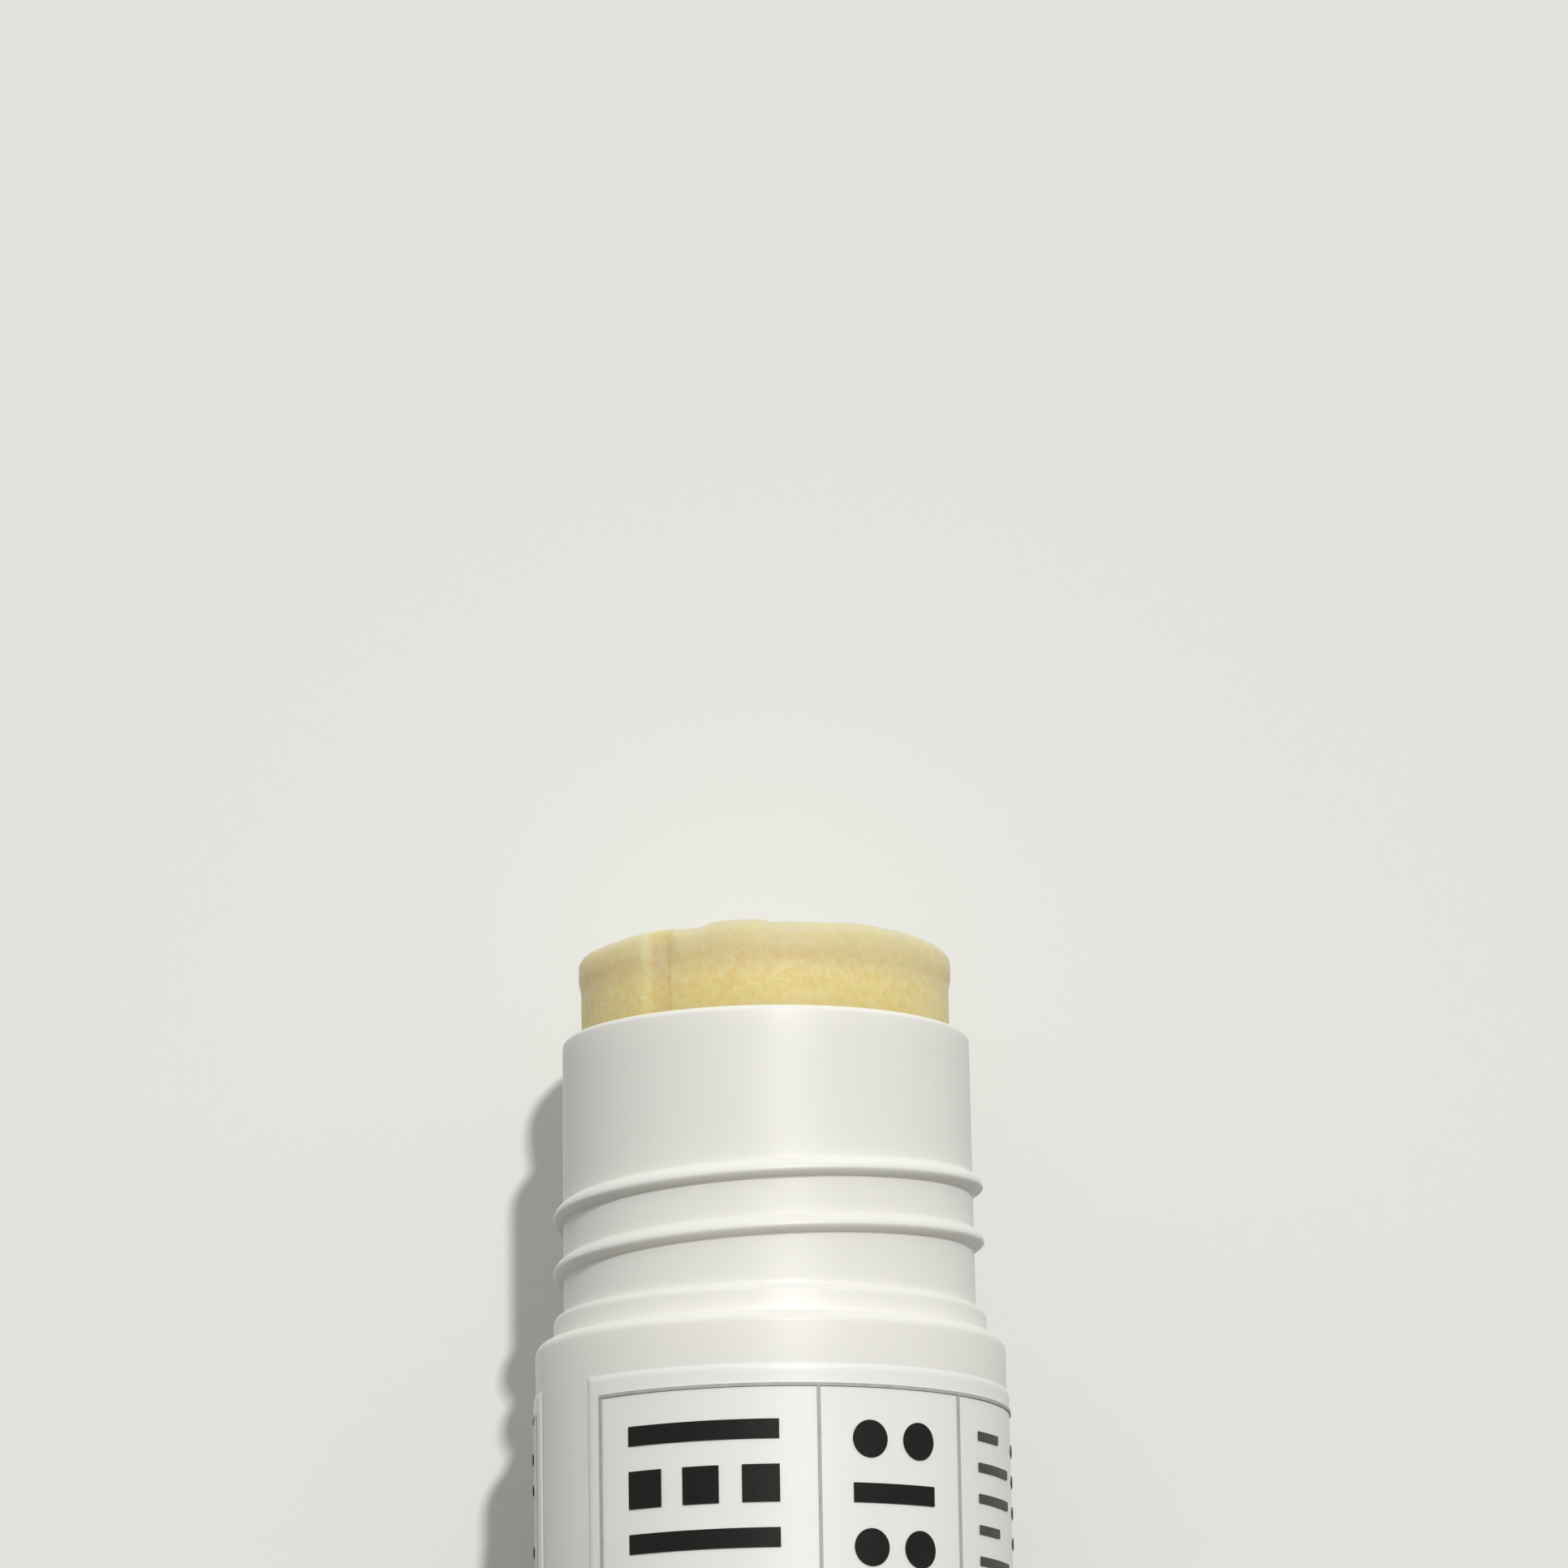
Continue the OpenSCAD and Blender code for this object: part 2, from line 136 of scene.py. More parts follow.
# Heights of small unevenness: of the edge, the lip's lower line, the side and the edge's round
EDGE_ROUGH = 0.012
LEDGE_ROUGH = 0.04
SIDE_ROUGH = 0.012
CHIP_ROUGH = 0.02
# Broken face: its relief, how far it lies below the edge, and how far it may stand over it
FACE_RELIEF = 0.13
FACE_SUNK = 0.2
FACE_PROUD = 0.1
# Heights over which the balm's colour turns: deep near the rim, frosted near the break, and darker
# over the break's top as painted shade
DEEP_Z = (56.4, 57.7)
FROST_Z = (57.5, 59.0)
PAINTED_SHADE_Z = (58.9, 59.4)

# Label film and its print
FILM_IN_R = 8.01
FILM_R = 8.09
INK_R = 8.1
INK_T = 0.03
LABEL_Z = (8.55, 44.05)
LABEL_AZIMUTH = (-49.5, 285.0)
FILM_ROWS = 44
FILM_COLUMNS = 330
# Places of the fine rows and columns at the film's edges, from the edge, in millimetres and degrees
FILM_EDGE_ROWS = np.array([0, 0.03, 0.07, 0.12, 0.18, 0.25, 0.33])
FILM_EDGE_COLUMNS = np.array([0, 0.12, 0.3])

# Colours, each with the one that its clouding runs to
TUBE_COLOURS = ((0.825, 0.815, 0.77), (0.81, 0.8, 0.755))
WHEEL_COLOURS = ((0.81, 0.815, 0.785), (0.79, 0.795, 0.765))
CUP_COLOURS = ((0.82, 0.82, 0.8), (0.8, 0.8, 0.78))
FILM_COLOURS = ((0.845, 0.85, 0.825), (0.82, 0.825, 0.8))
BLACK_COLOURS = ((0.004, 0.003, 0.002), (0.008, 0.006, 0.005))
GREY_COLOURS = ((0.4, 0.4, 0.385), (0.48, 0.48, 0.465))
FINE_COLOURS = ((0.05, 0.048, 0.045), (0.07, 0.068, 0.065))
WAX_BODY = (0.8, 0.725, 0.38)
WAX_GRAINS = (0.77, 0.62, 0.26)
WAX_DEEP = (0.75, 0.57, 0.22)
WAX_FROST = (0.58, 0.535, 0.4)
# Painted shade that darkens the top of the broken edge
WAX_PAINTED_SHADE = (0.45, 0.41, 0.3)
# Painted glints: the nearly white colour of tiny spots that stand in for sparkles of light
PAINTED_GLINT_COLOUR = (0.95, 0.93, 0.85)

# Stage: the span is in metres, and the gap is what lies between the print and the sheet behind it
STAGE_SPAN = 0.7
STAGE_COLOUR = (0.8, 0.8, 0.78)
FLOOR_BOUNCE = (0.12, 0.12, 0.12)
FLOOR_HOLE_R = 7.6
FLOOR_COLUMNS = 96
SHEET_GAP = 0.12

# Light. The sky and the glow from below are the two strengths and the two heights of the direction
# that they run between.
KEY_ENERGY = 1.97
KEY_ANGLE = 3
KEY_COLOUR = (1.0, 0.985, 0.955)
KEY_TOWARDS = (0.231, -1, 0.43)
SKY_COLOUR = (0.985, 1.0, 0.985)
SKY_GLOW = (0.05, 0.72, -0.28, 0.38)
LOW_GLOW = (0, 0.6, -0.6, -0.9)
SEEN_COLOUR = (0.745, 0.745, 0.725)

# Camera: the roll is in degrees
CAMERA_PLACE = (0, -276.213, 4.106)
CAMERA_AIM = (0.778, 0, 65.413)
CAMERA_ROLL = -0.945
CAMERA_LENS = 188
CAMERA_SENSOR = 36


def deg_per_mm(radius):
    """Angle that a millimetre takes up on a cylinder."""
    return 180 / (math.pi * radius)


def polar(radius, azimuth, z):
    """Points in metres from radii, azimuths and heights, on a broadcast grid."""
    a = np.radians(azimuth) - math.pi / 2
    r, a, z = np.broadcast_arrays(radius, a, z)
    return np.stack([r * np.cos(a), r * np.sin(a), z], axis=-1) * MM


def all_round():
    """Azimuths of the columns of points round the tube and the balm."""
    return np.arange(COLUMNS) * 360 / COLUMNS - 180


def smooth_step(x):
    """0 below 0, 1 above 1, and a smooth rise between."""
    t = np.clip(x, 0, 1)
    return t * t * (3 - 2 * t)


def arc_points(centre, radius, start, end, steps):
    """(radius, height) points of a quarter round or part of one."""
    angles = np.radians(np.linspace(start, end, steps + 1))
    return [(centre[0] + radius * math.cos(a), centre[1] + radius * math.sin(a)) for a in angles]


def line_points(start, end, step):
    """(radius, height) points along a straight line, without its last one."""
    length = math.dist(start, end)
    count = max(1, round(length / step))
    return [
        (start[0] + (end[0] - start[0]) * i / count, start[1] + (end[1] - start[1]) * i / count)
        for i in range(count)
    ]


def new_piece(name, points, faces, smooth=True):
    """A mesh object from points in metres and faces."""
    mesh = bpy.data.meshes.new(name)
    mesh.from_pydata([tuple(p) for p in np.asarray(points).reshape(-1, 3)], [], faces)
    mesh.validate()
    mesh.update()
    if smooth:
        mesh.shade_smooth()
    piece = bpy.data.objects.new(name, mesh)
    bpy.context.scene.collection.objects.link(piece)
    return piece


def grid_faces(rows, columns, wrap_rows, wrap_columns):
    """Quads of a grid of points, facing out where rows run up and columns to the right."""
    faces = []
    for i in range(rows if wrap_rows else rows - 1):
        low, high = i * columns, (i + 1) % rows * columns
        for j in range(columns if wrap_columns else columns - 1):
            k = (j + 1) % columns
            faces.append((low + j, low + k, high + k, high + j))
    return faces


# Tube


def flank(away, crest, foot, roundness):
    """1 on the crest, falling round and then straight to 0 at the foot."""
    share = np.clip((away - crest) / (foot - crest), 0, 1)
    return (1 - share**roundness) * smooth_step((1 - share) / THREAD_FOOT_SHARE)


def ridge_height(azimuth, z):
    """How far the thread's ridge stands out of the neck."""
    half_angle = 180 * THREAD_TURNS
    height = np.zeros(np.broadcast(azimuth, z).shape)
    for turn in (-1, 0, 1, 2):
        along = azimuth + 360 * turn - 180
        growth = smooth_step((half_angle - np.abs(along)) / THREAD_TAPER)
        offset = z - THREAD_MID_Z - THREAD_PITCH * along / 360
        below = flank(-offset, *THREAD_BELOW)
        above = flank(offset, *THREAD_ABOVE)
        height = np.maximum(height, THREAD_H * growth * np.minimum(below, above))
    return height


def neck_point(z):
    """(radius, height) of the neck without its ridge, which narrows a little towards the rim."""
    return ROOT_R + (RIM_R - ROOT_R) * (z - SEAT_Z) / (RIM_Z - SEAT_Z), z


def outer_profile():
    """Outline of the tube's outside, from its foot up to the rim."""
    foot = neck_point(SEAT_Z + 0.2)
    low, high = neck_point(THREAD_MID_Z - THREAD_REACH), neck_point(THREAD_MID_Z + THREAD_REACH)
    outline = [(SOCKET_R + FOOT_ROUND, TUBE_Z)]
    outline += arc_points((BODY_R - FOOT_ROUND, TUBE_Z + FOOT_ROUND), FOOT_ROUND, -90, 0, 4)
    outline += line_points((BODY_R, TUBE_Z + 2 * FOOT_ROUND), (BODY_R, SHOULDER_Z - 1), BODY_STEP)
    shoulder = (BODY_R - SHOULDER_ROUND, SHOULDER_Z - SHOULDER_ROUND)
    outline += arc_points(shoulder, SHOULDER_ROUND, 0, 90, 10)
    seat_foot = (SEAT_R + SEAT_FILLET, SHOULDER_Z + SEAT_FILLET)
    outline += arc_points(seat_foot, SEAT_FILLET, 270, 180, 3)
    outline += arc_points((SEAT_R - SEAT_ROUND, SEAT_Z - SEAT_ROUND), SEAT_ROUND, 0, 90, 8)
    outline += arc_points((ROOT_R + NECK_FILLET, SEAT_Z + NECK_FILLET), NECK_FILLET, 270, 180, 3)
    outline += line_points(foot, low, NECK_STEP)
    outline += line_points(low, high, THREAD_STEP)
    outline += line_points(high, (RIM_R, RIM_Z - RIM_STEP), RIM_STEP)
    outline += arc_points((RIM_R - RIM_ROUND, RIM_Z - RIM_ROUND), RIM_ROUND, 0, 90, 8)
    return outline


def inner_profile():
    """Outline of the tube's inside, from the rim down the bore and the socket to the foot."""
    outline = arc_points((BORE_SKIN_R + RIM_ROUND, RIM_Z - RIM_ROUND), RIM_ROUND, 90, 180, 8)
    outline += line_points((BORE_SKIN_R, RIM_Z - RIM_STEP), (BORE_SKIN_R, SOCKET_Z), BORE_STEP)
    outline += [
        (BORE_SKIN_R, SOCKET_Z),
        (SOCKET_R, SOCKET_Z),
        (SOCKET_R, BEAD_Z + BEAD_GROOVE_MOUTH),
        (BEAD_GROOVE_R, BEAD_Z + BEAD_GROOVE_FLOOR),
        (BEAD_GROOVE_R, BEAD_Z - BEAD_GROOVE_FLOOR),
        (SOCKET_R, BEAD_Z - BEAD_GROOVE_MOUTH),
        (SOCKET_R, TUBE_Z + FOOT_ROUND),
    ]
    return outline


def build_tube():
    """The tube as one lathed skin, with its thread raised out of the neck."""
    outline = np.array(outer_profile() + inner_profile())
    azimuth = all_round()
    radius = np.repeat(outline[:, :1], COLUMNS, axis=1)
    z = np.repeat(outline[:, 1:], COLUMNS, axis=1)
    on_neck = (outline[:, 0] > WALL_MID_R) & (outline[:, 1] > NECK_Z)
    radius = radius + np.where(on_neck[:, None], ridge_height(azimuth[None, :], z), 0)
    faces = grid_faces(len(outline), COLUMNS, True, True)
    return new_piece("tube_shell", polar(radius, azimuth[None, :], z), faces)


def build_ribs():
    """The two guide ribs that stand out of the bore's wall, and run into it at both ends."""
    points, faces = [], []
    low, high = RIB_Z
    ends = ((low, 0), (low + 0.3, 1), (high - 0.4, 1), (high, 0))
    half = RIB_W / 2 * deg_per_mm(BORE_R)
    # The section runs across the rib in half widths, with depths that are negative out of the wall
    side = ((1.5, RIB_ROOT), (1, -RIB_EDGE_H), (0.75, -RIB_H))
    section = [(-across, depth) for across, depth in side] + list(reversed(side))
    count = len(section)
    for azimuth in RIB_AZIMUTHS:
        start = len(points)
        for z, grown in ends:
            for across, depth in section:
                out = depth if depth > 0 else depth * grown + RIB_END_SUNK * (1 - grown)
                points.append(polar(BORE_R + out, azimuth + across * half, z))
        faces += [tuple(start + i for i in f) for f in grid_faces(len(ends), count, False, True)]
        faces.append(tuple(start + i for i in reversed(range(count))))
        faces.append(tuple(start + (len(ends) - 1) * count + i for i in range(count)))
    return new_piece("guide_ribs", points, faces, smooth=False)


# Balm


def balm_noise(azimuth, z, seed, scale):
    """Smooth wandering between about -1 and 1 round the stick, the same each run."""
    rng = np.random.default_rng(seed)
    total = np.zeros(np.broadcast(azimuth, z).shape)
    for wave in range(1, 9):
        phase, lift = rng.uniform(0, 360), rng.uniform(-60, 60)
        size = rng.uniform(0.4, 1) / wave**0.6
        total += size * np.sin(np.radians(azimuth * wave * scale + phase + lift * z))
    return total / 2.2


def cut_height(azimuth):
    """Height of the broken edge over its mean, round the stick."""
    rise, fall = (
        smooth_step((azimuth - start) / width) for start, width in (EDGE_STEP_RISE, EDGE_STEP_FALL)
    )
    height = EDGE_STEP_H * (rise - fall)
    for centre, half_width, lift in EDGE_WAVES:
        height = height + lift * np.exp(-(((azimuth - centre) / half_width) ** 2))
    return height + EDGE_ROUGH * balm_noise(azimuth, 0, seed=4, scale=5)


def groove_depth(azimuth):
    """Depth of the guide ribs' grooves in the balm's side, with soft edges."""
    depth = np.zeros(np.shape(azimuth))
    half = RIB_W / 2 + GROOVE_MARGIN
    for rib in RIB_AZIMUTHS:
        across = ((azimuth - rib + 180) % 360 - 180) / deg_per_mm(BALM_R)
        share = smooth_step((half + GROOVE_EDGE_OUT - np.abs(across)) / GROOVE_EDGE_W)
        depth = np.maximum(depth, GROOVE_H * share)
    return depth


def break_noise(x, y):
    """Shape of the broken face, from about -1.5 to 1.5: waves from the longest tear to the grit."""
    torn = np.abs(np.sin(1.1 * x + 0.7 * y + 1.2 * np.sin(0.8 * y + 0.5 * x)))
    rolling = np.sin(1.7 * x + 0.6 * y + 1) * np.sin(1.2 * y - 0.4 * x)
    drawn = np.sin(2.9 * y - 1.3 * x + 2 + np.sin(2.1 * x))
    flaked = np.sin(5.3 * x + 3.1 * y + np.sin(3 * y))
    scored = np.sin(7.9 * y - 4.7 * x + 4)
    grit = np.sin(13 * x + 9 * y + 1) * np.sin(11 * y - 6 * x)
    rough = 1.1 * torn - 0.6 + 0.5 * rolling
    rough += 0.28 * drawn + 0.2 * flaked
    rough += 0.15 * scored + 0.1 * grit
    return rough


def side_heights(side_top):
    """Heights of the rows on the balm's open side, which lie closest over the lip."""
    return [
        *np.linspace(RIM_Z - 0.5, LIP_Z - 0.48, 18),
        *np.linspace(LIP_Z - 0.42, LIP_Z + 0.2, 14),
        *np.linspace(LIP_Z + 0.24, side_top, 6),
    ]


def balm_rows(azimuth):
    """(radius, height) rows: from the foot up the side, over the edge and across the break."""
    edge = cut_height(azimuth)
    groove = groove_depth(azimuth)
    lip_r = BALM_R + LIP_H
    grooved = lip_r - groove * (1 + LIP_H / GROOVE_H)
    side_top = BALM_TOP - EDGE_ROUND
    rows = [
        (BALM_BORE_R, BALM_Z),
        (BALM_FOOT_R - BALM_FOOT_ROUND, BALM_Z),
        (BALM_FOOT_R, BALM_Z + BALM_FOOT_ROUND),
        (BALM_FOOT_R, BALM_FOOT_TOP),
        (BALM_R - groove, BALM_FOOT_TOP),
    ]
    rows += [(BALM_R - groove, z) for z in np.arange(BALM_FOOT_TOP + 1, RIM_Z - 0.6, 2.0)]
    ledge = LIP_Z + LEDGE_ROUGH * balm_noise(azimuth, 0, seed=21, scale=3)
    for z in side_heights(side_top):
        out = smooth_step((z - ledge + 0.4) / 0.6)
        above_rim = smooth_step((z - RIM_Z) / 0.5)
        dents = SIDE_ROUGH * balm_noise(azimuth, z, seed=11, scale=4) * above_rim
        side = np.minimum(BALM_R + LIP_H * out + dents, lip_r)
        rows.append((np.minimum(side, grooved), z + edge * out))
    for degrees in np.linspace(9, 90, 12):
        turn = math.radians(degrees)
        chips = CHIP_ROUGH * balm_noise(azimuth, 0, seed=12, scale=6) * math.sin(turn)
        r = lip_r - EDGE_ROUND * (1 - math.cos(turn)) + chips
        rows.append((np.minimum(r, grooved), side_top + edge + EDGE_ROUND * math.sin(turn)))
    for share in np.linspace(0.97, 0.015, 60):
        r = (lip_r - EDGE_ROUND) * share
        inner = smooth_step((1 - share) / 0.25)
        rough = break_noise(r * np.cos(np.radians(azimuth)), r * np.sin(np.radians(azimuth)))
        z = BALM_TOP + edge * (1 - inner) + (FACE_RELIEF * rough - FACE_SUNK) * inner
        rows.append((r, np.minimum(z, BALM_TOP + FACE_PROUD)))
    return rows


def build_balm():
    """The balm: grooved side, smeared broken edge, rough broken face, and its foot and its bore."""
    azimuth = all_round()
    rows = balm_rows(azimuth)
    radius = np.array([np.broadcast_to(r, azimuth.shape) for r, _ in rows], dtype=float)
    z = np.array([np.broadcast_to(height, azimuth.shape) for _, height in rows], dtype=float)
    skin = polar(radius, azimuth[None, :], z).reshape(-1, 3)
    bore_end = polar(BALM_BORE_R, azimuth, BALM_BORE_TOP)
    tip_point = polar(0, 0, BALM_BORE_TOP)[None, :]
    points = np.vstack([skin, bore_end, tip_point])
    faces = grid_faces(len(rows), COLUMNS, False, True)
    bore_high, tip = len(skin), len(points) - 1
    for j in range(COLUMNS):
        k = (j + 1) % COLUMNS
        faces.append((k, j, bore_high + j, bore_high + k))
        faces.append((bore_high + k, bore_high + j, tip))
    faces.append(tuple((len(rows) - 1) * COLUMNS + j for j in range(COLUMNS)))
    return new_piece("balm_stub", points, faces)


# Label


def build_film():
    """The label film: a thin shell with fine round edges, wrapped most of the way round."""
    start, end = LABEL_AZIMUTH
    low, high = LABEL_Z
    middle = np.linspace(start + 1, end - 1, FILM_COLUMNS)
    columns_at = [start + FILM_EDGE_COLUMNS, middle, end - FILM_EDGE_COLUMNS[::-1]]
    azimuth = np.concatenate(columns_at)
    middle = np.linspace(low + 0.6, high - 0.6, FILM_ROWS)
    z = np.concatenate([low + FILM_EDGE_ROWS, middle, high - FILM_EDGE_ROWS[::-1]])
    rim = np.minimum(np.minimum(z - low, high - z)[:, None], 1) + 0 * azimuth[None, :]
    side = np.minimum(np.minimum(azimuth - start, end - azimuth)[None, :], 1) + 0 * z[:, None]
    thin = np.minimum(smooth_step(0.45 + rim / 0.5), smooth_step(0.3 + side / 2.2))
    outer = FILM_IN_R + (FILM_R - FILM_IN_R) * thin
    outside = polar(outer, azimuth[None, :], z[:, None]).reshape(-1, 3)
    inside = polar(FILM_IN_R, azimuth[None, :], z[:, None]).reshape(-1, 3)
    rows, columns = len(z), len(azimuth)
    faces = grid_faces(rows, columns, False, False)
    shift = rows * columns
    faces += [tuple(shift + i for i in reversed(f)) for f in faces]
    up = (rows - 1) * columns
    for j in range(columns - 1):
        faces.append((j + 1, j, shift + j, shift + j + 1))
        faces.append((up + j, up + j + 1, shift + up + j + 1, shift + up + j))
    for i in range(rows - 1):
        a, b = i * columns, (i + 1) * columns
        faces.append((a, b, shift + b, shift + a))
        a, b = a + columns - 1, b + columns - 1
        faces.append((b, a, shift + a, shift + b))
    return new_piece("label_film", np.vstack([outside, inside]), faces)


# Materials


def material(name, base, roughness):
    """A node material with a Principled shader, whose plain values sit on its own sockets."""
    made = bpy.data.materials.new(name)
    made.use_nodes = True
    shader = made.node_tree.nodes["Principled BSDF"]
    shader.inputs["Base Color"].default_value = (*base, 1)
    shader.inputs["Roughness"].default_value = roughness
    return made, shader


def add_node(made, kind, inputs=None, **settings):
    """A node with its settings and its inputs' values or links."""
    node = made.node_tree.nodes.new(kind)
    for key, value in settings.items():
        setattr(node, key, value)
    for key, value in (inputs or {}).items():
        if isinstance(value, bpy.types.NodeSocket):
            made.node_tree.links.new(value, node.inputs[key])
        else:
            node.inputs[key].default_value = value
    return node


def link(made, value, socket):
    """Joins a node's output to a socket."""
    made.node_tree.links.new(value, socket)


def combine(made, operation, first, second):
    """What a Math node makes of two values."""
    return add_node(made, "ShaderNodeMath", {0: first, 1: second}, operation=operation).outputs[0]


def object_place(made):
    """Place on the piece, in metres."""
    return add_node(made, "ShaderNodeTexCoord").outputs["Object"]


def height_of(made, place):
    """Height of a place or a direction."""
    return add_node(made, "ShaderNodeSeparateXYZ", {"Vector": place}).outputs["Z"]


def noise(made, place, size_mm, detail=3.0, rough=0.5):
    """Noise with features of about a size in millimetres, from 0 to 1."""
    inputs = {"Vector": place, "Scale": 1 / (size_mm * MM), "Detail": detail, "Roughness": rough}
    return add_node(made, "ShaderNodeTexNoise", inputs).outputs["Fac"]


def spread(made, value, low, high, from_low=0.3, from_high=0.7, **settings):
    """A value that runs from low to high as another one runs over its usual span."""
    inputs = {0: value, 1: from_low, 2: from_high, 3: low, 4: high}
    return add_node(made, "ShaderNodeMapRange", inputs, **settings).outputs[0]


def spread_up(made, height, low, high, span):
    """A value that runs from low to high as the height runs over a span in millimetres."""
    return spread(made, height, low, high, span[0] * MM, span[1] * MM)


def mix_colour(made, share, first, second):
    """A colour between two colours."""
    mixer = add_node(made, "ShaderNodeMix", {"Factor": share}, data_type="RGBA")
    for key, value in ((6, first), (7, second)):
        if isinstance(value, bpy.types.NodeSocket):
            link(made, value, mixer.inputs[key])
        else:
            mixer.inputs[key].default_value = (*value, 1)
    return mixer.outputs[2]


def bump(made, shader, heights):
    """Bumps on a shader: (height value, depth in millimetres) pairs, one over the other."""
    normal = None
    for height, depth_mm in heights:
        inputs = {"Height": height, "Strength": 1.0, "Distance": depth_mm * MM}
        if normal:
            inputs["Normal"] = normal
        normal = add_node(made, "ShaderNodeBump", inputs).outputs["Normal"]
    link(made, normal, shader.inputs["Normal"])


def moulded_plastic(name, base, shade, roughness):
    """White moulded plastic: faint clouding, a satin skin of fine grain and slight sink marks."""
    made, shader = material(name, base, roughness)
    place = object_place(made)
    cloud = spread(made, noise(made, place, 4), 0, 1)
    link(made, mix_colour(made, cloud, base, shade), shader.inputs["Base Color"])
    grain = noise(made, place, 0.12, 2)
    uneven = spread(made, grain, roughness - 0.03, roughness + 0.05)
    link(made, uneven, shader.inputs["Roughness"])
    bump(made, shader, [(noise(made, place, 3.5, 1), 0.012), (grain, 0.0007)])
    shader.inputs["IOR"].default_value = 1.49
    shader.inputs["Specular IOR Level"].default_value = 0.45
    shader.inputs["Subsurface Weight"].default_value = 0.2
    shader.inputs["Subsurface Radius"].default_value = (1.0, 0.9, 0.75)
    shader.inputs["Subsurface Scale"].default_value = 1 * MM
    return made


def balm_wax():
    """Pale yellow wax that light goes into: grainy, frosted at the break and deeper at the rim,
    with painted shade over the break's top and painted glints as tiny nearly white spots.
    """
    made, shader = material("balm_wax", WAX_BODY, 0.5)
    place = object_place(made)
    height = height_of(made, place)
    cloud = noise(made, place, 1.6, 4, 0.6)
    grain = noise(made, place, 0.3, 2, 0.6)
    fine = noise(made, place, 0.12, 2, 0.6)
    colour = mix_colour(made, spread(made, grain, 0, 1, 0.35, 0.65), WAX_BODY, WAX_GRAINS)
    colour = mix_colour(made, spread_up(made, height, 0.6, 0, DEEP_Z), colour, WAX_DEEP)
    frosting = spread_up(made, height, 0, 0.85, FROST_Z)
    patchy = combine(made, "MULTIPLY", frosting, spread(made, cloud, 0.75, 1.2))
    colour = mix_colour(made, patchy, colour, WAX_FROST)
    # Painted shade: the broken edge's top turns darker, against the light that falls on its upward
    # face
    colour = mix_colour(made, spread_up(made, height, 0, 0.35, PAINTED_SHADE_Z), colour, WAX_PAINTED_SHADE)
    # Painted glints: tiny spots turn nearly white, as if light glinted off the wax
    glint_cell_inputs = {"Vector": place, "Scale": 1 / (1.1 * MM)}
    glint_cells = add_node(made, "ShaderNodeTexVoronoi", glint_cell_inputs).outputs["Distance"]
    colour = mix_colour(made, spread(made, glint_cells, 0.9, 0, 0.03, 0.07), colour, PAINTED_GLINT_COLOUR)
    link(made, colour, shader.inputs["Base Color"])
    link(made, spread(made, fine, 0.42, 0.6), shader.inputs["Roughness"])
    shader.subsurface_method = "RANDOM_WALK"
    shader.inputs["Subsurface Weight"].default_value = 1.0
    shader.inputs["Subsurface Radius"].default_value = (1.0, 0.72, 0.22)
    shader.inputs["Subsurface Scale"].default_value = 3.5 * MM
    shader.inputs["IOR"].default_value = 1.44
    shader.inputs["Specular IOR Level"].default_value = 0.4
    bump(made, shader, [(cloud, 0.04), (grain, 0.03), (fine, 0.008)])
    return made


def label_paper():
    """White label film with a soft sheen and the finest orange-peel."""
    made, shader = material("label_film", FILM_COLOURS[0], 0.4)
    place = object_place(made)
    cloud = mix_colour(made, spread(made, noise(made, place, 5), 0, 1), *FILM_COLOURS)
    link(made, cloud, shader.inputs["Base Color"])
    fine = noise(made, place, 0.2, 2)
    link(made, spread(made, fine, 0.36, 0.46), shader.inputs["Roughness"])
    bump(made, shader, [(noise(made, place, 2.5, 1), 0.008), (fine, 0.001)])
    return made


def ink(name, base, worn):
    """Flat print with a slightly uneven lay-down."""
    made, shader = material(name, base, 0.5)
    shader.inputs["Specular IOR Level"].default_value = 0.2
    place = object_place(made)
    patchy = mix_colour(made, spread(made, noise(made, place, 0.35, 3), 0, 1), base, worn)
    link(made, patchy, shader.inputs["Base Color"])
    link(made, spread(made, noise(made, place, 0.1, 2), 0.45, 0.6), shader.inputs["Roughness"])
    return made


def dress(piece, made):
    """Gives a piece one material."""
    piece.data.materials.clear()
    piece.data.materials.append(made)


# Stage


def seen_directly(made):
    """1 for the rays that show the stage: those of the camera, of gloss and of what is clear."""
    path = add_node(made, "ShaderNodeLightPath")
    seen = path.outputs["Is Camera Ray"]
    for ray in ("Is Glossy Ray", "Is Transmission Ray"):
        seen = combine(made, "MAXIMUM", seen, path.outputs[ray])
    return seen


def stage_material(name, base, bounce):
    """Pale stage that shows on its front and is clear from behind. With no bounce, light passes."""
    made, shader = material(name, base, 0.9)
    shader.inputs["Specular IOR Level"].default_value = 0.1
    seen = seen_directly(made)
    clear = add_node(made, "ShaderNodeNewGeometry").outputs["Backfacing"]
    if bounce:
        link(made, mix_colour(made, seen, bounce, base), shader.inputs["Base Color"])
    else:
        clear = combine(made, "MAXIMUM", clear, combine(made, "SUBTRACT", 1.0, seen))
    glass = add_node(made, "ShaderNodeBsdfTransparent")
    inputs = {0: clear, 1: shader.outputs["BSDF"], 2: glass.outputs["BSDF"]}
    mixed = add_node(made, "ShaderNodeMixShader", inputs)
    link(made, mixed.outputs[0], made.node_tree.nodes["Material Output"].inputs["Surface"])
    return made


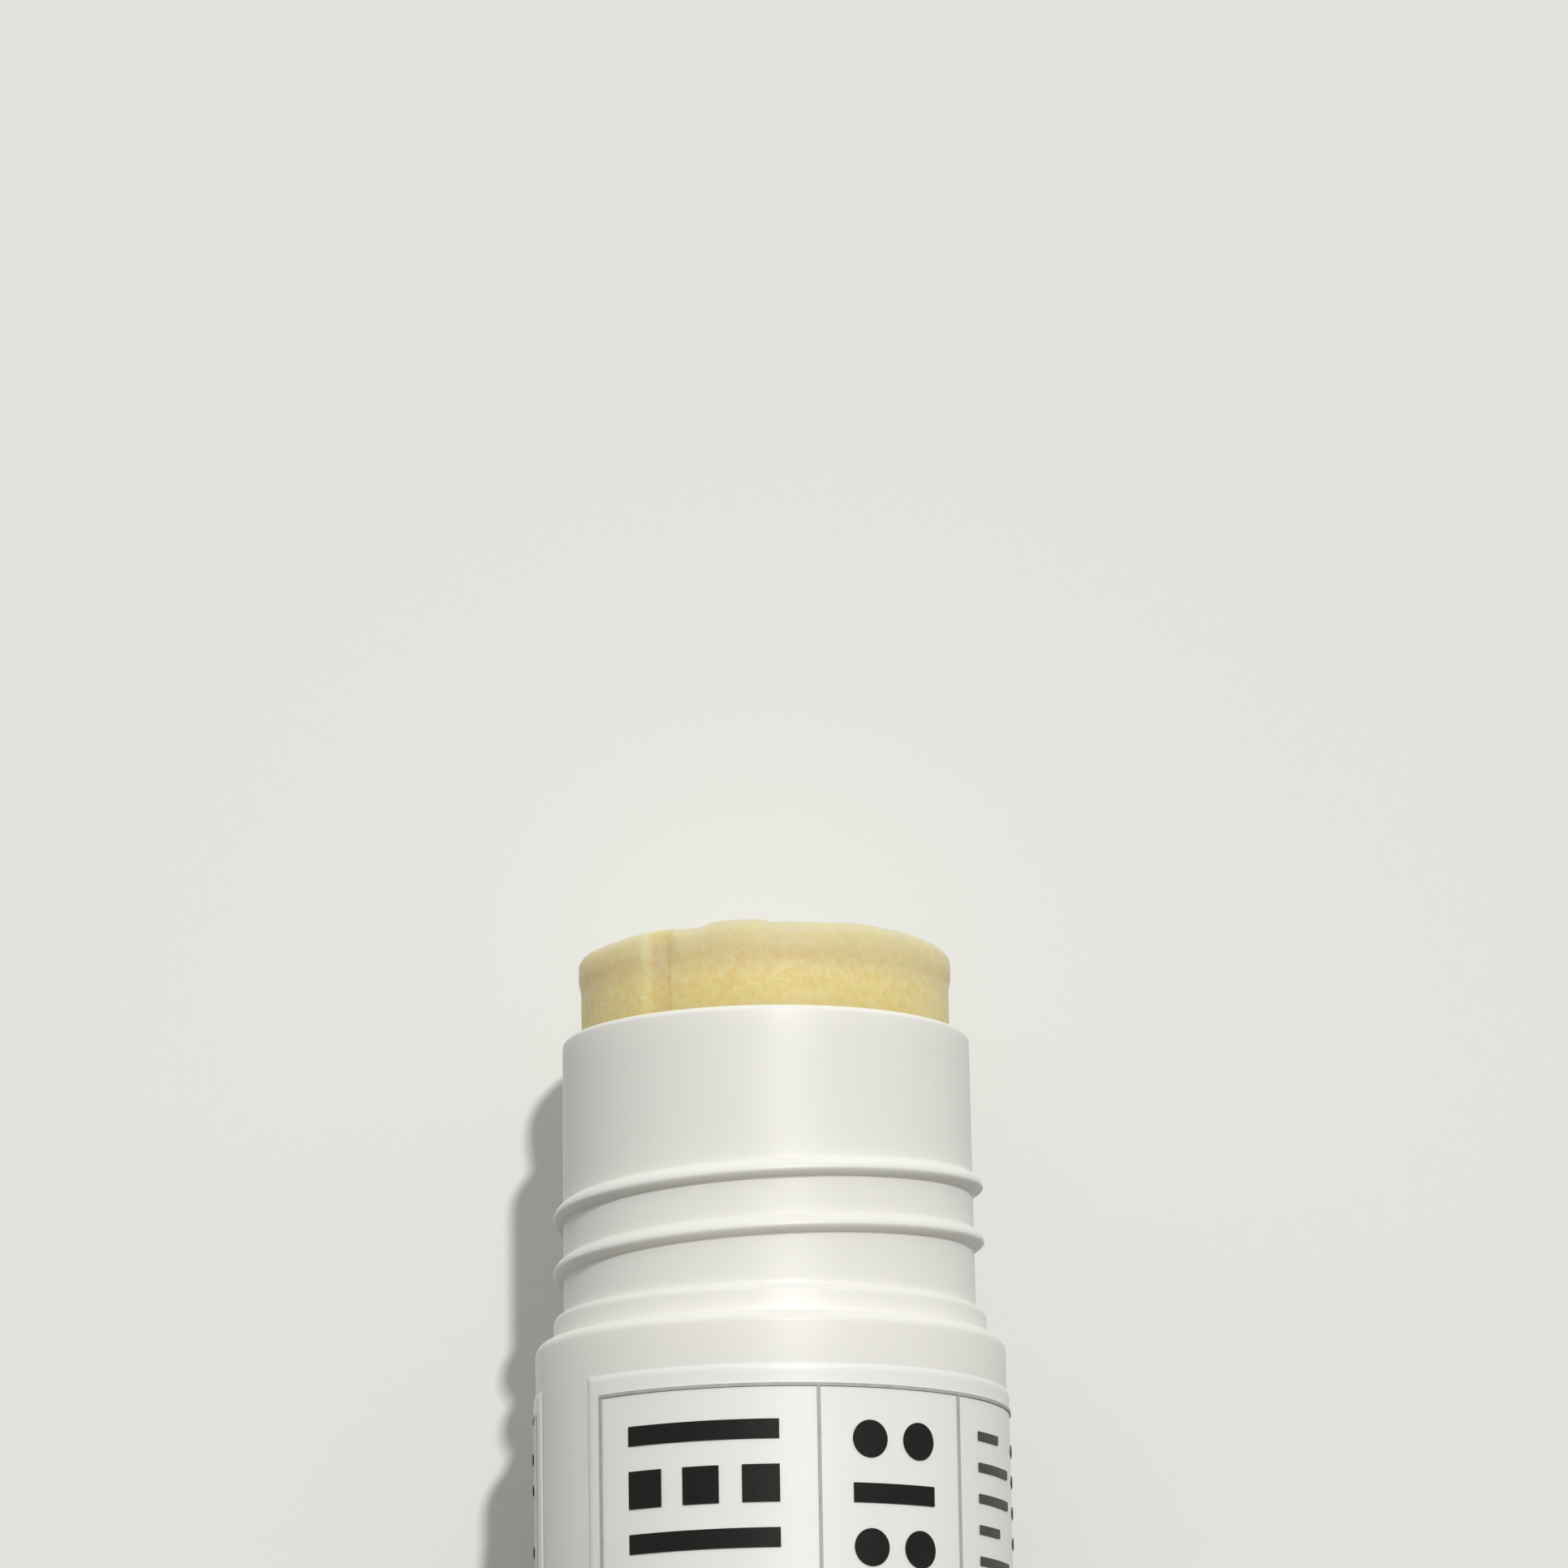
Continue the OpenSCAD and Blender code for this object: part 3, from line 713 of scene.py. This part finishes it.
def build_stage():
    """Floor round the stick's foot, and the pale sheet close behind it that takes its shadow."""
    span = STAGE_SPAN
    azimuth = np.arange(FLOOR_COLUMNS) * 360 / FLOOR_COLUMNS
    floor = np.array([polar(span / MM, azimuth, 0), polar(FLOOR_HOLE_R, azimuth, 0)])
    floor_faces = grid_faces(2, FLOOR_COLUMNS, False, True)
    back_y = (INK_R + INK_T + SHEET_GAP) * MM
    sheet = [(-span, back_y, 0), (span, back_y, 0), (span, back_y, span), (-span, back_y, span)]
    floor_look = stage_material("pale_floor", STAGE_COLOUR, FLOOR_BOUNCE)
    sheet_look = stage_material("pale_table", STAGE_COLOUR, None)
    parts = (
        ("floor", floor, floor_faces, floor_look),
        ("backdrop", sheet, [(0, 1, 2, 3)], sheet_look),
    )
    for name, points, faces, made in parts:
        piece = new_piece(name, points, faces, smooth=False)
        dress(piece, made)


def build_light():
    """A fairly hard key from the front's upper right, and a pale surround, bright above."""
    key = bpy.data.lights.new("key", "SUN")
    key.energy = KEY_ENERGY
    key.angle = math.radians(KEY_ANGLE)
    key.color = KEY_COLOUR
    lamp = bpy.data.objects.new("key", key)
    lamp.rotation_euler = Vector(KEY_TOWARDS).to_track_quat("Z", "Y").to_euler()
    bpy.context.scene.collection.objects.link(lamp)
    world = bpy.data.worlds.new("surround")
    world.use_nodes = True
    surround = world.node_tree.nodes["Background"]
    height = height_of(world, add_node(world, "ShaderNodeTexCoord").outputs["Generated"])
    sky = spread(world, height, *SKY_GLOW, interpolation_type="SMOOTHSTEP")
    glow = combine(world, "ADD", sky, spread(world, height, *LOW_GLOW))
    seen = seen_directly(world)
    colour = mix_colour(world, seen, SKY_COLOUR, SEEN_COLOUR)
    inputs = {0: seen, 2: glow, 3: 1.0}
    strength = add_node(world, "ShaderNodeMix", inputs, data_type="FLOAT").outputs[0]
    link(world, colour, surround.inputs["Color"])
    link(world, strength, surround.inputs["Strength"])
    bpy.context.scene.world = world


def build_camera():
    """The photo's view: a long lens, low and tilted up, so that the stick runs out below."""
    place = Vector(CAMERA_PLACE) * MM
    aim = Vector(CAMERA_AIM) * MM
    roll = math.radians(CAMERA_ROLL)
    forward = (aim - place).normalized()
    level = forward.cross(Vector((0, 0, 1))).normalized()
    upright = level.cross(forward)
    right = level * math.cos(roll) + upright * math.sin(roll)
    up = upright * math.cos(roll) - level * math.sin(roll)
    data = bpy.data.cameras.new("camera")
    data.sensor_width = CAMERA_SENSOR
    data.lens = CAMERA_LENS
    data.clip_start = 0.01
    camera = bpy.data.objects.new("camera", data)
    turn = Matrix((right, up, -forward)).transposed()
    camera.matrix_world = Matrix.Translation(place) @ turn.to_4x4()
    bpy.context.scene.collection.objects.link(camera)
    bpy.context.scene.camera = camera


def build_object():
    """Every piece of the stick, on its body, in its material."""
    tube = build_tube()
    ribs = build_ribs()
    plastic = moulded_plastic("tube_plastic", *TUBE_COLOURS, 0.42)
    for piece in (tube, ribs):
        dress(piece, plastic)
        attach(piece, "barrel")
        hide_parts("barrel")
    balm = build_balm()
    dress(balm, balm_wax())
    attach(balm, "elevator")
    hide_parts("balm")
    film = build_film()
    dress(film, label_paper())
    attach(film, "barrel")
    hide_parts("label")
    dress(nodes["dial_screw"], moulded_plastic("wheel_plastic", *WHEEL_COLOURS, 0.45))
    dress(nodes["elevator_cup"], moulded_plastic("cup_plastic", *CUP_COLOURS, 0.5))
    dress(nodes["label_blocks"], ink("black_ink", *BLACK_COLOURS))
    dress(nodes["label_rules"], ink("grey_ink", *GREY_COLOURS))
    dress(nodes["label_notes"], ink("fine_ink", *FINE_COLOURS))


build_object()
build_stage()
build_light()
build_camera()
bpy.context.scene.view_settings.view_transform = "Standard"
